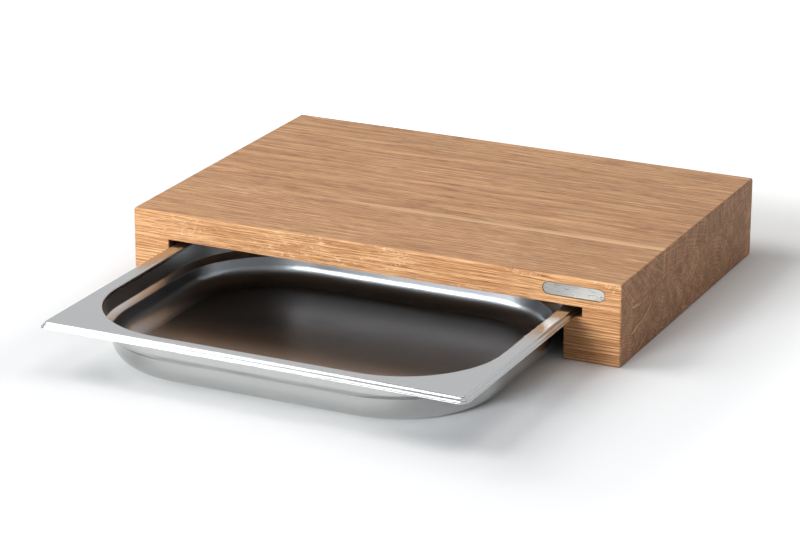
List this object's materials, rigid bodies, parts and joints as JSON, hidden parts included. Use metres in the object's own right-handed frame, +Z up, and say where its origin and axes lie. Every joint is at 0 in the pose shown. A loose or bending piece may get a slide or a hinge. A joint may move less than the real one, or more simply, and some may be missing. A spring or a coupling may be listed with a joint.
{
  "type": "cutting board with a slide-out tray",
  "caption": "Thick oak cutting board on rebated side rails, with a pressed steel pan that slides out at the front on its rim to catch scraps.",
  "frame": {"origin": "middle of the footprint on the table, with the tray drawn out 185 mm as it rests", "axes": "+Z up, -Y to the front, the way the tray slides out, +X to the right seen from the front"},
  "size_m": [0.39, 0.455, 0.0615],
  "materials": {
    "oak": "oiled oak, satin, end grain on the sides",
    "tray_steel": "pressed stainless steel, satin",
    "badge": "bright satin plate, blank"
  },
  "bodies": {
    "board": {"top_stave_front": "oak", "top_stave_middle": "oak", "top_stave_back": "oak", "rail_left_front": "oak", "rail_left_middle": "oak", "rail_left_back": "oak", "rail_right_front": "oak", "rail_right_middle": "oak", "rail_right_back": "oak", "rear_bar": "oak", "badge_plate": "badge"},
    "tray": {"tray": "tray_steel"}
  },
  "joints": [
    {"name": "tray_slide", "type": "slide", "parent": "board", "child": "tray", "axis": [0, -1, 0], "range_m": [-0.1765, 0.0805]}
  ]
}
